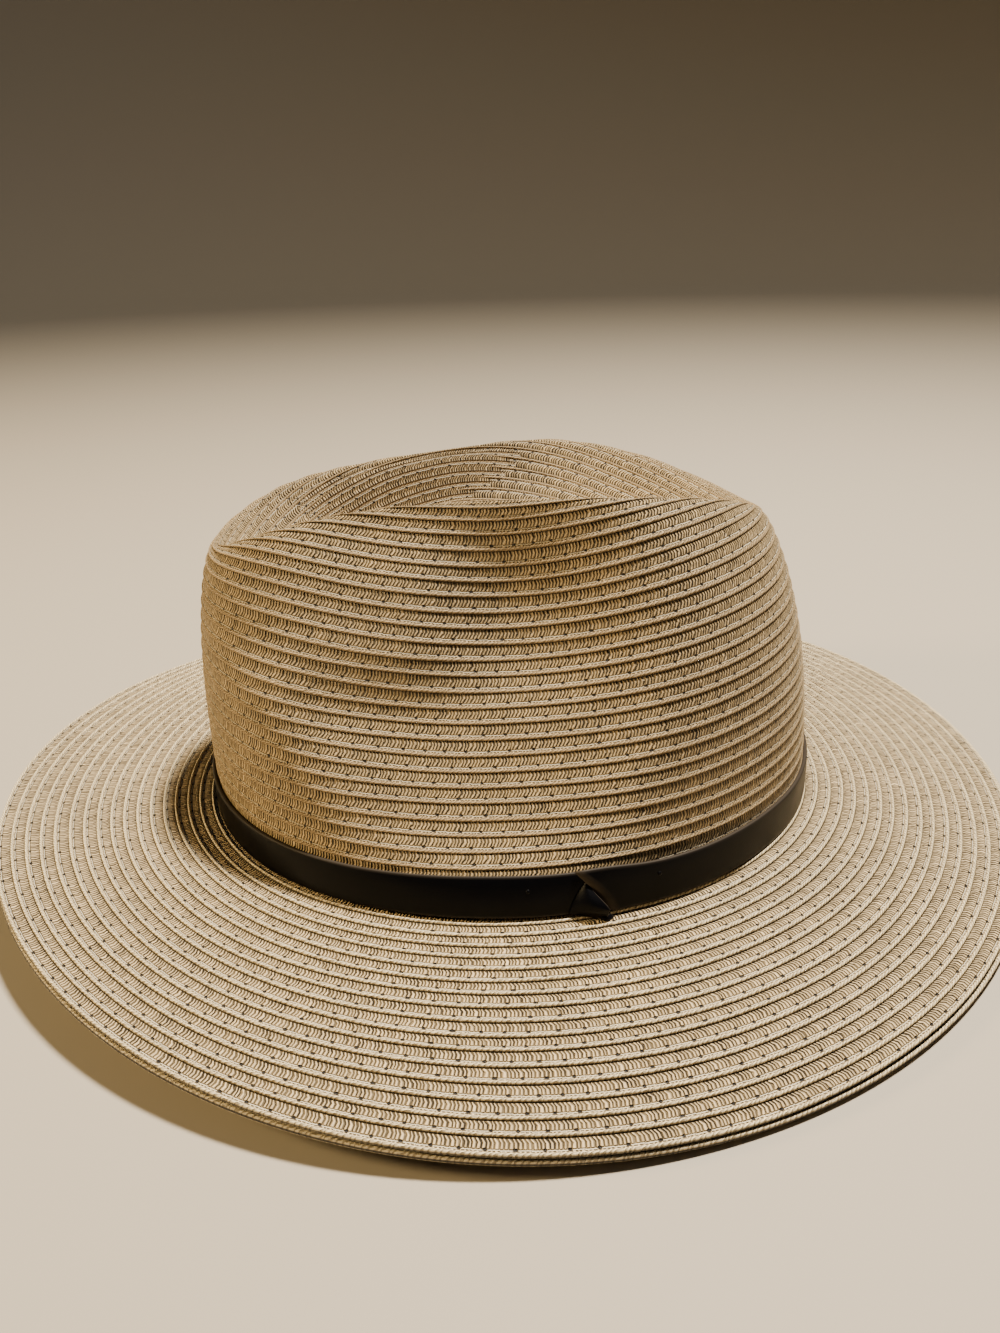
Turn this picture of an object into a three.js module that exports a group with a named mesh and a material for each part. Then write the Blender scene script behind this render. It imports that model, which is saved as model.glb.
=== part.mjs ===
// Wide-brim straw sun hat: a crown and a brim of sewn straw braid, with a narrow leather band
// knotted on the wearer's left. Millimetres. The front faces -Y, the wearer's left is +X, and the
// brim stands on the plane Z = 0. Angles run round the hat from the front towards the left.
import * as THREE from 'three';

// Driving dimensions
const BRAID = 1.5; // thickness of the sewn braid
const EDGE_BRAID = 1.2; // thickness of the second course under the brim's edge
const LEATHER = 1.2; // thickness of the band's strap
const GAP = 0.35; // clearance between neighbouring pieces
const HEADLINE = 14.3; // height of the headline at the sides, where crown and brim meet
const BRIM_WIDTH = 64;
const BRIM_SAG = 0.82; // how much the brim stays up before it falls to its edge
const EDGE_WIDTH = 6; // width of the second course
const COLLAR = 6; // height of the brim's first course, turned up inside the crown
const CROWN_START = 1.2; // slant height where the crown's wall begins
const BAND_START = 1; // slant height of the band's lower edge
const BAND_WIDTH = 11;
const KNOT_ANGLE = 94; // degrees, the middle of the knot
const COLUMNS = 60; // facets round the hat
const PRESS = 0.15; // how much the weight presses the edge's two courses together
const EDGE_STACK = BRAID + GAP + EDGE_BRAID - PRESS; // height of the edge where it is on the ground

// The crown as it is blocked, before it is dented: an oval dome. The boxy numbers are the powers
// of its superellipse outline, where 2 is round and more is squarer.
const DOME = {
  side: 93.5, // half width at the headline
  reach: 95.2, // half length at the headline
  height: 132.9,
  boxy: 2.46,
  boxy_front: 0.17,
  boxy_ends: 0.15,
  side_lean: 0.144, // share by which the top is narrower
  end_lean: -0.02,
  shift: -5.6, // how far the top stands back; less than zero is to the front
  front_drop: 3.3, // the headline dips by this at the front
  back_drop: 4.7,
};

// The hollow that a hand presses into each side of the crown, and the ridge behind it: how far out
// the wall stands at angles from the front. They grow over the heights of the foot and fade over
// those of the head, both over the headline.
const HOLLOW = [
  { angle: 15, out: 0 },
  { angle: 45, out: -5 },
  { angle: 62, out: -5 },
  { angle: 84, out: 2 },
  { angle: 106, out: 0 },
];
const HOLLOW_FOOT = { from: 49, to: 70 };
const HOLLOW_HEAD = { from: 80, to: 104 };

// The dent mirrors the dome's top in a nearly level surface: its height over the headline in the
// middle, and the powers of the place along and across it, each taken at its own span.
const DENT = {
  height: 94.8,
  softness: 4,
  along_span: 100,
  along: [-1.5, -7.6, -1.2, -17.1],
  across_span: 60,
  across: [3.8, 3.7],
};
// towards its ends the crest is blunter
const DENT_ENDS = { blunt: 4, from: 40, to: 90 };

// Each side pinch mirrors a patch of the wall in a sheet that faces forwards, outwards and up. The
// sheet bows in by the bow at a span to each side of its middle.
const PINCHES = [
  { side: 1, angle: 78.4, tilt: 23.7, reach: 59.1 },
  { side: -1, angle: 78.4, tilt: 23.7, reach: 60.7 },
];
const PINCH_HEIGHT = 75; // the sheets are measured from this height over the headline
const PINCH_SOFTNESS = 4.8;
const PINCH_BOW = { depth: 4.1, span: 50 };
const PINCH_FADE = 25; // the pinches fade out over this height above the headline

// Height of the brim's edge: its mean, and the waves with one, two and three rises round it.
const EDGE_MEAN = 7.7;
const EDGE_WAVES = [
  { rises: 1, front: 4.3, left: 0.6 },
  { rises: 2, front: 4.8, left: 1.5 },
  { rises: 3, front: 0.3, left: -0.35 },
];

const { cos, sin, PI, acos, max, min, hypot } = Math;
const radians = THREE.MathUtils.degToRad;
const degrees = THREE.MathUtils.radToDeg;
const { smoothstep } = THREE.MathUtils;
const UP = new THREE.Vector3(0, 0, 1);

// How far the pressed wall stands out from the dome, at an angle and a height over the headline.
function pressedOut(angle, height) {
  const fromFront = degrees(acos(cos(angle)));
  const out = HOLLOW.slice(1).reduce((sum, place, i) => (
    sum + (place.out - HOLLOW[i].out) * smoothstep(fromFront, HOLLOW[i].angle, place.angle)
  ), 0);
  const foot = smoothstep(height, HOLLOW_FOOT.from, HOLLOW_FOOT.to);
  return out * (foot - smoothstep(height, HOLLOW_HEAD.from, HOLLOW_HEAD.to));
}

// A point on the blocked dome, at an angle round the hat and a turn from its foot (0) to its top.
function domePoint(angle, turn) {
  const ahead = cos(angle);
  const boxy = DOME.boxy + DOME.boxy_front * ahead + DOME.boxy_ends * cos(2 * angle);
  const spread = max(cos(turn), 0) ** (2 / boxy);
  const lift = sin(turn) ** (2 / boxy);
  const drop = DOME.front_drop * max(ahead, 0) ** 2 + DOME.back_drop * min(ahead, 0) ** 2;
  const out = pressedOut(angle, DOME.height * lift);
  return new THREE.Vector3(
    DOME.side * sin(angle) * spread * (1 - DOME.side_lean * lift) + out * sin(angle),
    -DOME.reach * ahead * spread * (1 - DOME.end_lean * lift) + DOME.shift * lift ** 2 - out * ahead,
    HEADLINE + DOME.height * lift - drop * (1 - lift),
  );
}

// A signed distance folded back at zero, with a rounded crest: the far side is mirrored.
function fold(distance, softness) {
  return -hypot(distance, softness);
}

// The sum of a place's powers from the first up, each with its own weight.
function powers(place, weights) {
  return weights.reduce((sum, weight, i) => sum + weight * place ** (i + 1), 0);
}

// The dome's point after the two pinches.
function pinched(point) {
  const fade = smoothstep(point.z - HEADLINE, 0, PINCH_FADE);
  PINCHES.forEach((pinch) => {
    const angle = radians(pinch.angle);
    const tilt = radians(pinch.tilt);
    const facing = new THREE.Vector3(
      pinch.side * sin(angle) * cos(tilt),
      -cos(angle) * cos(tilt),
      sin(tilt),
    );
    const sideways = new THREE.Vector3(pinch.side * cos(angle), sin(angle), 0);
    const place = point.clone().setZ(point.z - HEADLINE - PINCH_HEIGHT);
    const bow = PINCH_BOW.depth * (place.dot(sideways) / PINCH_BOW.span) ** 2;
    const distance = place.dot(facing) - pinch.reach + bow;
    point.addScaledVector(facing, fade * (fold(distance, PINCH_SOFTNESS) - distance));
  });
  return point;
}

// Height of the surface that the dent is mirrored in, over or under a point.
function dentLevel(point) {
  return HEADLINE + DENT.height + powers(point.y / DENT.along_span, DENT.along) +
    powers(point.x / DENT.across_span, DENT.across);
}

// The dome's point after the pinches and the dent.
function dented(point) {
  const dent = dentLevel(pinched(point));
  const blunt = DENT_ENDS.blunt * smoothstep(Math.abs(point.y), DENT_ENDS.from, DENT_ENDS.to);
  const level = dent + blunt;
  return point.setZ(level + fold(point.z - level, DENT.softness + blunt));
}

// The turn at a share of the way up the dome. It dwells at both ends, where the outline is steep.
const DWELL = 1.6;
function turnAt(share) {
  const up = share ** DWELL;
  return ((PI / 2) * up) / (up + (1 - share) ** DWELL);
}

// The turns up the dome at one angle, with the slant length to each. Denting keeps the length.
const TURNS = 240;
const meridians = new Map();
function meridian(angle) {
  if (!meridians.has(angle)) {
    const slants = [0];
    let last = domePoint(angle, 0);
    for (let i = 1; i <= TURNS; i += 1) {
      const next = domePoint(angle, turnAt(i / TURNS));
      slants.push(slants[i - 1] + next.distanceTo(last));
      last = next;
    }
    meridians.set(angle, slants);
  }
  return meridians.get(angle);
}

// Slant height of the crest round the dent, where the pinched dome meets the dent's surface.
function crestSlant(angle) {
  const slants = meridian(angle);
  const over = (i) => {
    const point = pinched(domePoint(angle, turnAt(i / TURNS)));
    return point.z - dentLevel(point);
  };
  const above = slants.findIndex((_, i) => over(i) > 0);
  const share = over(above - 1) / (over(above - 1) - over(above));
  return slants[above - 1] + share * (slants[above] - slants[above - 1]);
}

// A point on the crown's outer skin at a slant height above the headline.
function crownPoint(angle, slant) {
  const slants = meridian(angle);
  const above = max(slants.findIndex((length) => length > slant), 1);
  const share = (slant - slants[above - 1]) / (slants[above] - slants[above - 1]);
  return dented(domePoint(angle, turnAt((above - 1 + share) / TURNS)));
}

// The crown's outer skin moved outwards by a clearance, or inwards if it is negative.
const NEAR = 0.02; // radians, the step for a direction along the skin
const RISE = 1; // the step for a direction up the skin
function besideCrown(angle, slant, clearance) {
  const along = crownPoint(angle + NEAR, slant).sub(crownPoint(angle - NEAR, slant));
  const upward = crownPoint(angle, slant + RISE).sub(crownPoint(angle, max(slant - RISE, 0)));
  const outward = along.cross(upward).normalize();
  return crownPoint(angle, slant).addScaledVector(outward, clearance);
}

// A point on the brim's upper side, a share of the way from the headline to the edge. The ground
// holds up the parts of the edge that would fall below it.
function brimPoint(angle, share) {
  const start = crownPoint(angle, 0);
  const along = crownPoint(angle + NEAR, 0).sub(crownPoint(angle - NEAR, 0)).setZ(0);
  const outward = along.cross(UP).normalize();
  const top = start.z - GAP;
  const waves = EDGE_WAVES.map(({ rises, front, left }) => (
    front * cos(rises * angle) + left * sin(rises * angle)
  ));
  const free = waves.reduce((sum, wave) => sum + wave, EDGE_MEAN);
  const edge = max(free, EDGE_STACK);
  const fall = share + BRIM_SAG * share * (share - 1);
  return start.addScaledVector(outward, BRIM_WIDTH * share).setZ(top + (edge - top) * fall);
}

// A sheet of even thickness from rows of points on its face, which run round the hat and then up
// or inwards. Its back is the face moved against the face's outward directions, and no lower than
// the plane that the hat stands on. A closed sheet joins its last column to its first, and an apex
// gathers its last row into one point.
function sheet(rows, thickness, { closed = true, apex = null } = {}) {
  const last = rows.length - 1;
  const width = rows[0].length;
  const positions = [];
  const put = (point) => positions.push(point.x, point.y, max(point.z, 0));
  const at = (i, j) => {
    const row = rows[min(max(i, 0), last)];
    return row[closed ? (j + width) % width : min(max(j, 0), width - 1)];
  };
  const behind = (i, j) => {
    const along = at(i, j + 1).clone().sub(at(i, j - 1));
    const upward = at(i + 1, j).clone().sub(at(i - 1, j));
    return at(i, j).clone().addScaledVector(along.cross(upward).normalize(), -thickness);
  };
  rows.flat().forEach(put);
  rows.forEach((row, i) => row.forEach((_, j) => put(behind(i, j))));
  const face = (i, j) => i * width + (j % width);
  const back = (i, j) => rows.length * width + face(i, j);
  const indices = [];
  const quad = (a, b, c, d) => indices.push(a, b, c, a, c, d);
  for (let j = 0; j < (closed ? width : width - 1); j += 1) {
    for (let i = 0; i < last; i += 1) {
      quad(face(i, j), face(i, j + 1), face(i + 1, j + 1), face(i + 1, j));
      quad(back(i, j), back(i + 1, j), back(i + 1, j + 1), back(i, j + 1));
    }
    quad(face(0, j), back(0, j), back(0, j + 1), face(0, j + 1));
    if (apex) {
      const tip = 2 * rows.length * width;
      indices.push(face(last, j), face(last, j + 1), tip);
      indices.push(back(last, j + 1), back(last, j), tip + 1);
    } else {
      quad(face(last, j + 1), back(last, j + 1), back(last, j), face(last, j));
    }
  }
  if (apex) {
    put(apex);
    put(apex.clone().addScaledVector(UP, -thickness));
  }
  const end = width - 1;
  for (let i = 0; i < last && !closed; i += 1) {
    quad(back(i, 0), face(i, 0), face(i + 1, 0), back(i + 1, 0));
    quad(back(i + 1, end), face(i + 1, end), face(i, end), back(i, end));
  }
  const geometry = new THREE.BufferGeometry();
  geometry.setAttribute('position', new THREE.Float32BufferAttribute(positions, 3));
  geometry.setIndex(indices);
  return geometry;
}

// Evenly spaced numbers from one value to another.
function steps(from, to, count) {
  return Array.from({ length: count }, (_, i) => from + ((to - from) * i) / (count - 1));
}

const angles = steps(0, 2 * PI, COLUMNS + 1).slice(0, COLUMNS);
const straw = new THREE.MeshStandardMaterial({ color: 0xb39a70, roughness: 0.75, metalness: 0 });
const leather = new THREE.MeshStandardMaterial({ color: 0x1b1512, roughness: 0.4, metalness: 0 });
const hat = new THREE.Group();

function add(name, geometry, material) {
  const mesh = new THREE.Mesh(geometry, material);
  mesh.name = name;
  hat.add(mesh);
}

// Rows round the whole hat, one for each entry of a list.
function rings(entries, place) {
  return entries.map((entry) => angles.map((angle) => place(angle, entry)));
}

// Crown: one dented and pinched shell, open below. One of its rows follows the dent's crest, so
// the shares go from 0 at the foot to 1 there and 2 near the dent's middle.
const WALL_ROWS = 12;
const DENT_ROWS = 10;
const TOP_SHARE = 0.985; // the last row's place on the slant, just short of the dent's middle
const crownShares = [...steps(0, 1, WALL_ROWS), ...steps(1, 2, DENT_ROWS).slice(1)];
const crownRows = rings(crownShares, (angle, share) => {
  const crest = crestSlant(angle);
  const full = meridian(angle)[TURNS] * TOP_SHARE;
  const [from, to] = share <= 1 ? [CROWN_START, crest] : [crest, full];
  return crownPoint(angle, from + (to - from) * (share <= 1 ? share : share - 1));
});
const dentMiddle = dented(domePoint(0, PI / 2));
add('crown', sheet(crownRows, BRAID, { apex: dentMiddle }), straw);

// Brim: from its edge in to the headline, then turned up as a collar inside the crown.
const inside = -(BRAID + 2 * GAP); // twice the gap, as the crown's facets cut its corners
const BRIM_SHARES = [1, 0.85, 0.65, 0.45, 0.25, 0.1];
const brimRows = [
  ...rings(BRIM_SHARES, brimPoint),
  ...rings([0], (angle) => besideCrown(angle, 0, inside).setZ(brimPoint(angle, 0).z)),
  ...rings([COLLAR / 2, COLLAR], (angle, slant) => besideCrown(angle, slant, inside)),
];
add('brim', sheet(brimRows, BRAID), straw);

// Edge course: the second course of braid under the brim's edge, pressed flat where it stands.
const FLAT_WIDTH = 2.5; // the part of the course that the ground presses flat
const edgeShares = [0, FLAT_WIDTH, EDGE_WIDTH].map((inset) => 1 - inset / BRIM_WIDTH);
const edgeRows = rings(edgeShares, (angle, share) => {
  const inset = (1 - share) * BRIM_WIDTH;
  const point = brimPoint(angle, share);
  const over = inset > FLAT_WIDTH ? point.z : min(point.z, brimPoint(angle, 1).z);
  return point.setZ(over - BRAID - GAP);
});
add('brim_edge_course', sheet(edgeRows, EDGE_BRAID), straw);

// Band: one strap round the foot of the crown. Its curved free end lies over its other end, so it
// stands a thickness further out there and comes back to the crown over the lap.
const LAP = 40; // degrees from the knot to where the upper end lies on the crown
const LAP_FALL = 32; // degrees over which it comes down
const UNDER_LAP = 6; // the lower end reaches this far past the knot, in millimetres
const END_CURVE = { foot: 2.9, bend: 0.064 }; // the free end: foot - bend * slant ** 2
const BAND_COLUMNS = 66;
const BAND_ROWS = 5;
const perRadian = DOME.side;
const knotAngle = radians(KNOT_ANGLE);
const bandRows = steps(BAND_START, BAND_START + BAND_WIDTH, BAND_ROWS).map((slant) => {
  const freeEnd = knotAngle + (END_CURVE.foot - END_CURVE.bend * slant ** 2) / perRadian;
  const lowerEnd = knotAngle + 2 * PI + UNDER_LAP / perRadian;
  return steps(freeEnd, lowerEnd, BAND_COLUMNS).map((angle) => {
    const lap = smoothstep(knotAngle + radians(LAP) - angle, 0, radians(LAP_FALL));
    return besideCrown(angle, slant, GAP + LEATHER + lap * (GAP + LEATHER));
  });
});
add('hatband', sheet(bandRows, LEATHER, { closed: false }), leather);

// Knot: the strap's tail, tucked round the lap and folded into a small cone beside the free end.
// along is measured from the knot's middle towards the back, out from the crown's skin.
const KNOT_SECTIONS = [
  { slant: 1, left: -7.6, right: 1.6, left_out: 3.4, middle_out: 4.6, right_out: 5 },
  { slant: 3.4, left: -7, right: 1, left_out: 3.6, middle_out: 5.2, right_out: 5.4 },
  { slant: 6, left: -5.4, right: -0.6, left_out: 3.4, middle_out: 4.2, right_out: 4.4 },
  { slant: 8.6, left: -3.8, right: -2.8, left_out: 3.3, middle_out: 3.4, right_out: 3.5 },
];
const knotRows = KNOT_SECTIONS.map((section) => {
  const { slant, left, right, left_out, middle_out, right_out } = section;
  const spots = [[left, left_out], [(left + right) / 2, middle_out], [right, right_out]];
  return spots.map(([along, out]) => besideCrown(knotAngle + along / perRadian, slant, out));
});
add('band_knot', sheet(knotRows, LEATHER, { closed: false }), leather);

export default hat;
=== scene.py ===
"""Looks of the wide-brim straw sun hat, in metres, in the same frame as the CAD part.

The front of the hat faces -Y, the wearer's left is +X and the brim stands on Z = 0. Angles run
round the hat from the front towards the left. Lengths are worked out in millimetres.
"""

import bpy
import numpy as np
from mathutils import Matrix, Vector


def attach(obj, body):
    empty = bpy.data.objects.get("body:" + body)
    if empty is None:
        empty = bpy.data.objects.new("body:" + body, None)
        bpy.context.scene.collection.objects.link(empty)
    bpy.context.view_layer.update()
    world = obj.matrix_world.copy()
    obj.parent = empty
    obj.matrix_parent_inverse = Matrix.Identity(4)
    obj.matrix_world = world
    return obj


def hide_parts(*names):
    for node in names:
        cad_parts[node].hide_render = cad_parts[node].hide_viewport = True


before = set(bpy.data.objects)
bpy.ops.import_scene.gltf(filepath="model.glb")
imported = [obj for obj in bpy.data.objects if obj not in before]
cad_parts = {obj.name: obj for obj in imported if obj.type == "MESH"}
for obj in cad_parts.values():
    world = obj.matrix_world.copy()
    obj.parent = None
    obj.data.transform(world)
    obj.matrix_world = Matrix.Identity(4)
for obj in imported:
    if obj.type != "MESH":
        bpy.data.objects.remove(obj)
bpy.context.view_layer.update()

# The blocked shape ------------------------------------------------------------------------------
# Crown and brim are one sheet of sewn braid, blocked into an oval dome whose sides are pinched and
# whose top is dented. These are the same sizes and the same formulas as in the CAD part.
HEADLINE = 14.3
DOME = {
    "side": 93.5,
    "reach": 95.2,
    "height": 132.9,
    "boxy": 2.46,
    "boxy_front": 0.17,
    "boxy_ends": 0.15,
    "side_lean": 0.144,
    "end_lean": -0.02,
    "shift": -5.6,
    "front_drop": 3.3,
    "back_drop": 4.7,
}
HOLLOW = (  # how far out the pressed wall stands at angles from the front, in degrees
    {"angle": 15, "out": 0},
    {"angle": 45, "out": -5},
    {"angle": 62, "out": -5},
    {"angle": 84, "out": 2},
    {"angle": 106, "out": 0},
)
HOLLOW_FOOT = (49, 70)  # heights over the headline
HOLLOW_HEAD = (80, 104)
DENT = {
    "height": 94.8,
    "softness": 4,
    "along_span": 100,
    "along": (-1.5, -7.6, -1.2, -17.1),
    "across_span": 60,
    "across": (3.8, 3.7),
}
DENT_ENDS = {"blunt": 4, "from": 40, "to": 90}  # the dent's ends have a rounder crest
PINCHES = (
    {"side": 1, "angle": 78.4, "tilt": 23.7, "reach": 59.1},
    {"side": -1, "angle": 78.4, "tilt": 23.7, "reach": 60.7},
)
PINCH_HEIGHT = 75
PINCH_SOFTNESS = 4.8
PINCH_BOW = {"depth": 4.1, "span": 50}
PINCH_FADE = 25
BRIM_WIDTH = 64
BRIM_SAG = 0.82
EDGE_MEAN = 7.7
EDGE_WAVES = (
    {"rises": 1, "front": 4.3, "left": 0.6},
    {"rises": 2, "front": 4.8, "left": 1.5},
    {"rises": 3, "front": 0.3, "left": -0.35},
)
EDGE_STACK = 2.9  # height of the brim's edge where it lies on the ground
SLANT_STEPS = 400


def smooth(value, start, end):
    """3 t^2 - 2 t^3, where t runs from 0 at start to 1 at end."""
    share = np.clip((value - start) / (end - start), 0, 1)
    return share * share * (3 - 2 * share)


def pressed_out(angle, height):
    """How far the pressed wall stands out from the dome: the steps of the HOLLOW table, summed."""
    from_front = np.degrees(np.arccos(np.clip(np.cos(angle), -1, 1)))
    out = sum(
        (after["out"] - before["out"]) * smooth(from_front, before["angle"], after["angle"])
        for before, after in zip(HOLLOW, HOLLOW[1:])
    )
    return out * (smooth(height, *HOLLOW_FOOT) - smooth(height, *HOLLOW_HEAD))


def blocked(angle, turn, inset=0.0):
    """Points of the oval dome, at angles round it and turns from its foot (0) to its top (pi / 2).

    spread = cos(turn)^(2/boxy) and lift = sin(turn)^(2/boxy) give x = side sin(angle) spread
    (1 - side_lean lift), y = -reach cos(angle) spread (1 - end_lean lift) + shift lift^2 and
    z = headline + height lift - drop (1 - lift). The wall is then moved outwards by pressed_out.
    inset makes the dome smaller all round.
    """
    ahead = np.cos(angle)
    boxy = DOME["boxy"] + DOME["boxy_front"] * ahead + DOME["boxy_ends"] * np.cos(2 * angle)
    spread = np.clip(np.cos(turn), 0, 1) ** (2 / boxy)
    lift = np.sin(turn) ** (2 / boxy)
    drop = np.where(ahead > 0, DOME["front_drop"], DOME["back_drop"]) * ahead**2
    out = pressed_out(angle, DOME["height"] * lift)
    x = (DOME["side"] - inset) * np.sin(angle) * spread * (1 - DOME["side_lean"] * lift)
    x = x + out * np.sin(angle)
    y = -(DOME["reach"] - inset) * ahead * spread * (1 - DOME["end_lean"] * lift)
    y = y + DOME["shift"] * lift**2 - out * ahead
    z = HEADLINE + (DOME["height"] - inset) * lift - drop * (1 - lift)
    return np.stack(np.broadcast_arrays(x, y, z), axis=-1)


def dented(points, inset=0.0):
    """The dome's points with the sides mirrored in the pinches and the top in the dent's surface.

    A signed distance d to each mirror becomes -sqrt(d^2 + softness^2). inset moves the mirrors
    inwards, for the inside of the wall.
    """
    fade = smooth(points[..., 2:] - HEADLINE, 0, PINCH_FADE)
    for pinch in PINCHES:
        angle = np.radians(pinch["angle"])
        tilt = np.radians(pinch["tilt"])
        facing = np.array([
            pinch["side"] * np.sin(angle) * np.cos(tilt),
            -np.cos(angle) * np.cos(tilt),
            np.sin(tilt),
        ])
        sideways = np.array([pinch["side"] * np.cos(angle), np.sin(angle), 0])
        place = points - np.array([0, 0, HEADLINE + PINCH_HEIGHT])
        bow = PINCH_BOW["depth"] * (place @ sideways / PINCH_BOW["span"]) ** 2
        distance = (place @ facing - pinch["reach"] + inset + bow)[..., None]
        points = points - fade * (np.hypot(distance, PINCH_SOFTNESS) + distance) * facing
    x, y, z = np.moveaxis(points, -1, 0)
    along = y / DENT["along_span"]
    across = x / DENT["across_span"]
    level = HEADLINE + DENT["height"] - inset
    level = level + sum(w * along ** (i + 1) for i, w in enumerate(DENT["along"]))
    level = level + sum(w * across ** (i + 1) for i, w in enumerate(DENT["across"]))
    blunt = DENT_ENDS["blunt"] * smooth(np.abs(y), DENT_ENDS["from"], DENT_ENDS["to"])
    level = level + blunt
    return np.stack([x, y, level - np.hypot(z - level, DENT["softness"] + blunt)], axis=-1)


def crown_slants(angles):
    """Turns up the dome, and the slant lengths to them at each angle: (turns, lengths).

    The turns are closer together at the foot and the top: pi/2 s^b / (s^b + (1 - s)^b).
    """
    bunching = 1.6
    steps = np.linspace(0, 1, SLANT_STEPS)[:, None]
    rising = steps**bunching
    turns = np.pi / 2 * rising / (rising + (1 - steps) ** bunching)
    line = blocked(angles, turns)
    lengths = np.linalg.norm(np.diff(line, axis=0), axis=-1).cumsum(axis=0)
    return turns[:, 0], np.concatenate([np.zeros((1, len(angles))), lengths])


def crown_points(angles, share, inset=0.0):
    """Points on the crown. The last axis of share goes with angles.

    share is the slant length up the unbent dome, 0 at the headline and 1 in the dent's middle.
    """
    turns, lengths = crown_slants(angles)
    lengths = lengths / lengths[-1]
    flat = share.reshape(-1, len(angles))
    turn = [np.interp(flat[:, i], lengths[:, i], turns) for i in range(len(angles))]
    dome = blocked(angles, np.stack(turn, axis=1), inset)
    return dented(dome, inset).reshape(*share.shape, 3)


def crown_inside(angles, share):
    """Points on the inner face of the crown's wall, as crown_points gives those on its outside."""
    return crown_points(angles, share, inset=STRAW)


def brim_points(angles, share):
    """Points on the brim's upper side. The last axis of share goes with angles.

    share runs from 0 at the headline to 1 at the edge. The foot of the crown is moved out along
    its own outward direction by share times the width, and the height goes from the headline's to
    the edge's as share + sag share (share - 1).
    """
    foot = blocked(angles, 0.0)
    ahead = np.cos(angles)
    side = np.sin(angles)
    outward = np.stack([DOME["reach"] * side, -DOME["side"] * ahead], axis=-1)
    outward = outward / np.linalg.norm(outward, axis=-1, keepdims=True)
    edge = EDGE_MEAN + sum(
        w["front"] * np.cos(w["rises"] * angles) + w["left"] * np.sin(w["rises"] * angles)
        for w in EDGE_WAVES
    )
    edge = np.maximum(edge, EDGE_STACK)
    fall = share + BRIM_SAG * share * (share - 1)
    flat = foot[:, :2] + outward * BRIM_WIDTH * share[..., None]
    height = foot[:, 2] + (edge - foot[:, 2]) * fall
    return np.concatenate([flat, height[..., None]], axis=-1)


def lifted(place, angles, share, lift):
    """Points of a surface moved out along its normal, which points up or out, by lift."""
    step = 0.002  # in radians, and as a share
    turned = place(angles + step, share) - place(angles - step, share)
    raised = place(angles, np.clip(share + step, 0, 1)) - place(angles, np.clip(share - step, 0, 1))
    normal = np.cross(turned, raised)
    normal = normal / np.linalg.norm(normal, axis=-1, keepdims=True)
    if place is brim_points:
        normal = -normal
    return place(angles, share) + normal * lift[..., None]


# Sewn braid -------------------------------------------------------------------------------------
# The straw is a flat braid of twisted paper, about 5 mm wide, sewn by machine in one spiral. Each
# course lies over the next one outwards, and has a corded outer edge. The seam's thread runs
# between its stitch holes beside the cord.
MM = 0.001
STRAW = 1.4  # thickness of the sewn braid
CROWN_COURSES = 43
BRIM_COURSES = 16.9
SEAM_ANGLE = 1.37  # where the courses were counted
CROWN_PHASE = 0.2
BRIM_PHASE = 0.71
BRAID_TAPER = 0.3  # the angle over which the end of the braid is tapered
TAPER_SINK = 0.3  # how far the tapered end lies under the sheet's face
LAST_SHARE = 0.9995  # just short of the sheet's end, where it still has a plain normal
# the courses' random drift across, as shares of a course, and the swell of their thickness: turns
# between the random numbers, the largest number, and the seed
DRIFTS = ((0.07, 0.045, 3), (0.31, 0.05, 4))
SWELL = (0.03, 0.12, 5)
MOST_TURNS = 64  # more than any spiral has


def corners(grid):
    """The four corner values of every quad of a grid, as rows of four."""
    around = [grid[:-1, :-1], grid[:-1, 1:], grid[1:, 1:], grid[1:, :-1]]
    return np.stack(around, axis=-1).reshape(-1, 4)


def mesh_from_grid(name, points, u, v, closed=False, raw=None):
    """A mesh of quads from points on a grid of rows and columns, with a UV map of u and v.

    Faces look towards (columns' direction) x (rows' direction). points are in millimetres. raw
    is a number for each point, 1 where a cut edge shows, which the leather's material reads.
    """
    rows, columns = points.shape[:2]
    index = np.arange(rows * columns).reshape(rows, columns)
    if closed:
        index = np.concatenate([index, index[:, :1]], axis=1)
        u = np.concatenate([u, 2 * u[:, -1:] - u[:, -2:-1]], axis=1)
        v = np.concatenate([v, v[:, :1]], axis=1)
    quads = corners(index)
    mesh = bpy.data.meshes.new(name)
    mesh.vertices.add(rows * columns)
    mesh.vertices.foreach_set("co", (points.reshape(-1) * MM).astype(np.float32))
    mesh.loops.add(quads.size)
    mesh.loops.foreach_set("vertex_index", quads.reshape(-1).astype(np.int32))
    mesh.polygons.add(len(quads))
    mesh.polygons.foreach_set("loop_start", np.arange(0, quads.size, 4, dtype=np.int32))
    mesh.polygons.foreach_set("use_smooth", np.ones(len(quads), dtype=bool))
    layer = mesh.uv_layers.new(name="braid")
    flat = np.stack([corners(u), corners(v)], axis=-1)
    layer.data.foreach_set("uv", flat.reshape(-1).astype(np.float32))
    if raw is not None:
        attribute = mesh.attributes.new("raw_edge", "FLOAT", "POINT")
        attribute.data.foreach_set("value", raw.reshape(-1).astype(np.float32))
    mesh.update()
    mesh.validate()
    thing = bpy.data.objects.new(name, mesh)
    bpy.context.scene.collection.objects.link(thing)
    return thing


def wander(turned, spacing, amount, seed):
    """Smooth random numbers along the spiral, which is given as the turns round the hat."""
    values = np.random.default_rng(seed).uniform(-amount, amount, int(MOST_TURNS / spacing))
    share = turned / spacing
    whole = np.clip(share.astype(int), 0, len(values) - 2)
    part = share - whole
    blend = part * part * (3 - 2 * part)
    return values[whole] * (1 - blend) + values[whole + 1] * blend


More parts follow.
